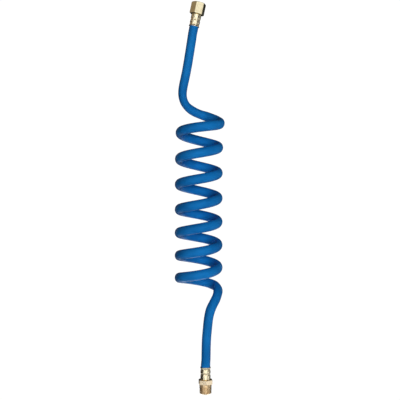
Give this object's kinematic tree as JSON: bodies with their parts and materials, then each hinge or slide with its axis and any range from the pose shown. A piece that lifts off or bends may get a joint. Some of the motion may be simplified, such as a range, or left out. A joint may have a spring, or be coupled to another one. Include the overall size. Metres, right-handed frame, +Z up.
{
  "type": "coiled air hose",
  "caption": "Flexible tube wound into a hanging spring coil, with a crimped brass swivel nut fitting at the top and a crimped brass male threaded fitting below.",
  "frame": {"origin": "middle of the swivel nut's threaded wall, on the inlet fitting's axis", "axes": "+Z up along the hanging coil, +X to the side the inlet's mouth leans to, +Y to the rear"},
  "size_m": [0.0528, 0.0528, 0.4296],
  "materials": {
    "brass_nut": "gloss",
    "brass_stem": "satin",
    "brass_ferrule": "gloss",
    "hose_plastic": "satin"
  },
  "bodies": {
    "swivel_nut": {"inlet_swivel_nut": "brass_nut"},
    "hose": {"inlet_stem": "brass_stem", "inlet_ferrule": "brass_ferrule", "hose_upper_tail": "hose_plastic", "hose_coil": "hose_plastic"},
    "tool_end": {"hose_lower_tail": "hose_plastic", "outlet_ferrule": "brass_ferrule", "outlet_stem": "brass_stem"}
  },
  "joints": [
    {"name": "nut_swivel", "type": "hinge", "parent": "swivel_nut", "child": "hose", "pos_m": [0, 0, 0], "axis": [0.2079, 0, 0.9781], "continuous": true},
    {"name": "coil_stretch", "type": "slide", "parent": "hose", "child": "tool_end", "axis": [0, 0, -1], "range_m": [-0.11, 0.42], "stiffness_N_per_m": 12, "springref_m": -0.0206, "deforming": ["hose_coil"]}
  ]
}
